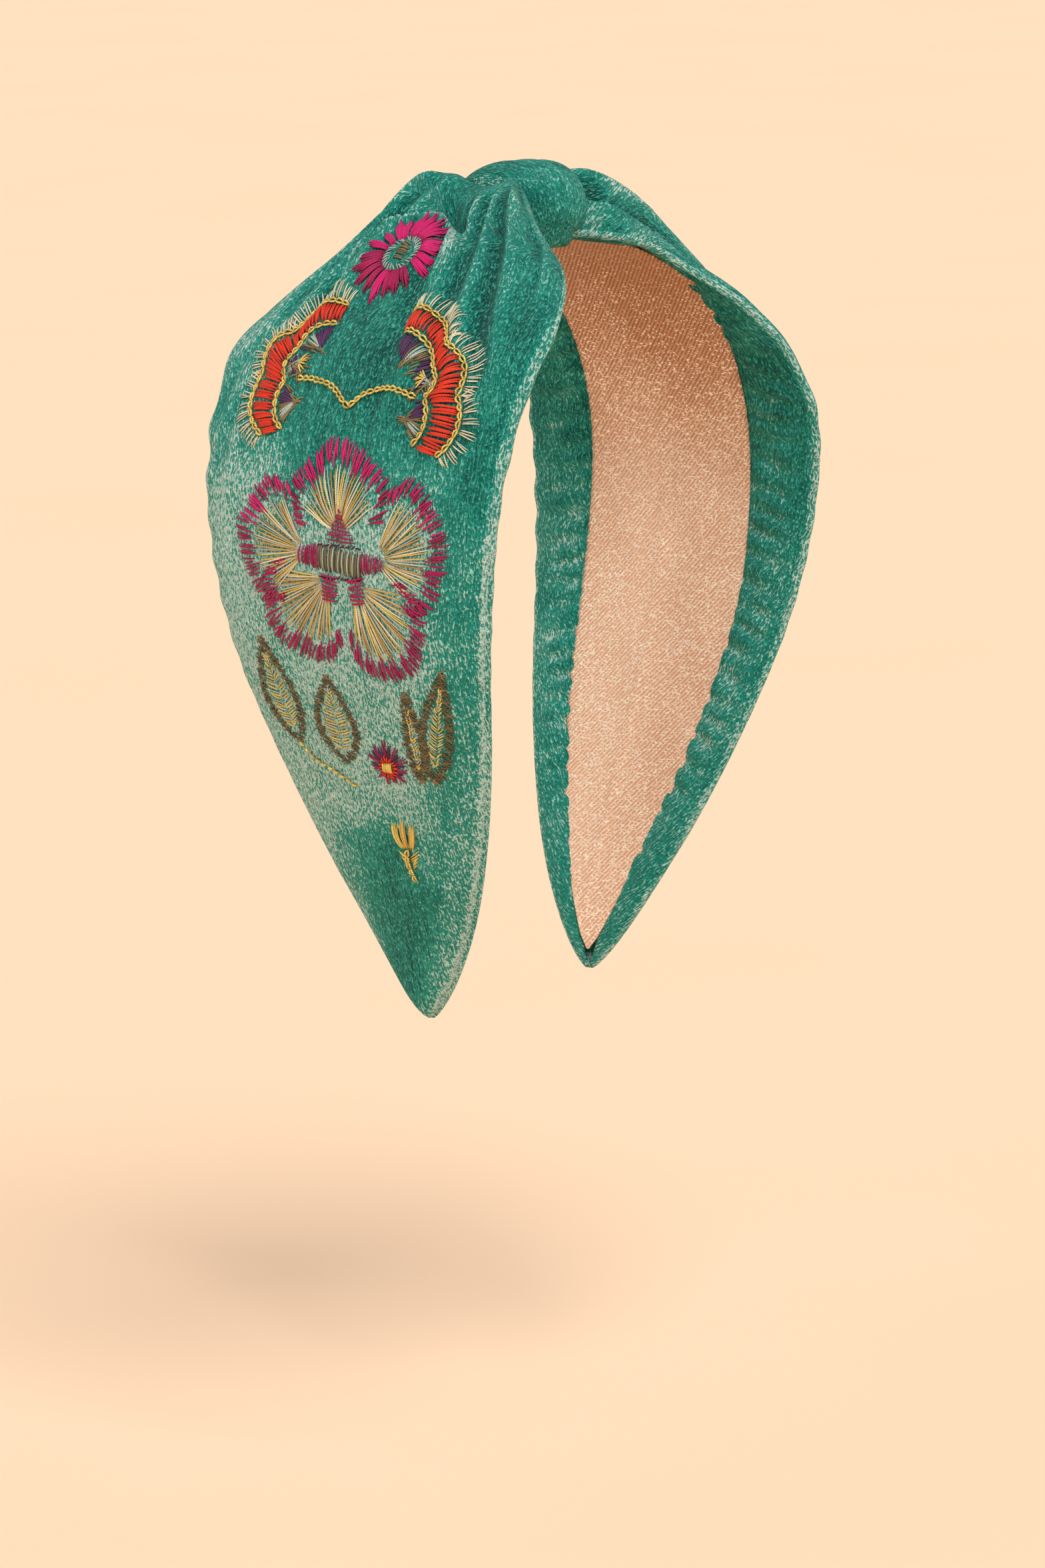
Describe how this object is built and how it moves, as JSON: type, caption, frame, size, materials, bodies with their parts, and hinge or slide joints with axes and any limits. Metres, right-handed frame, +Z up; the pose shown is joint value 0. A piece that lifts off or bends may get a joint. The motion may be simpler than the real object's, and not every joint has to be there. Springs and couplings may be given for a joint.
{
  "type": "knotted headband",
  "caption": "Wide sprung headband in padded velvet with a gathered crown loop, ribbon lining and thread embroidery on one side.",
  "frame": {"origin": "middle of the flat underside of the crown loop, where the headband rests on a head or a stand", "axes": "+Z up, away from the head; the arms lie along X with the embroidered one at -X; the wearer's face is towards -Y"},
  "size_m": [0.1114, 0.07, 0.158],
  "materials": {
    "velvet": "crushed teal velvet with a short silvery pile",
    "lining": "ribbed rose-gold ribbon with metallic sparkle",
    "core": "matte moulded strip",
    "foam": "open-cell padding",
    "crimson_thread": "glossy embroidery floss",
    "scarlet_thread": "glossy embroidery floss",
    "gold_thread": "metallic embroidery thread"
  },
  "bodies": {
    "crown": {"core_crown": "core", "lining_crown": "lining", "velvet_loop": "velvet"},
    "left_arm": {"velvet_left_panel": "velvet", "lining_left_arm": "lining", "core_left_arm": "core", "foam_left_arm": "foam", "daisy": "crimson_thread", "blossom": "crimson_thread", "starflower": "crimson_thread", "wing_back": "scarlet_thread", "wing_front": "scarlet_thread", "leaf_back": "scarlet_thread", "leaf_back_lower": "scarlet_thread", "leaf_front": "scarlet_thread", "leaf_front_lower": "scarlet_thread", "scallop_back": "gold_thread", "scallop_front": "gold_thread", "stem": "gold_thread", "bud": "gold_thread"},
    "right_arm": {"velvet_right_panel": "velvet", "lining_right_arm": "lining", "core_right_arm": "core", "foam_right_arm": "foam"}
  },
  "joints": [
    {"name": "left_flex", "type": "hinge", "parent": "crown", "child": "left_arm", "pos_m": [-0.01156, 0, 0.00307], "axis": [0, 1, 0], "range_deg": [-5, 18], "stiffness_Nm_per_rad": 1.3},
    {"name": "right_flex", "type": "hinge", "parent": "crown", "child": "right_arm", "pos_m": [0.01156, 0, 0.00307], "axis": [0, -1, 0], "range_deg": [-5, 18], "stiffness_Nm_per_rad": 1.3}
  ]
}
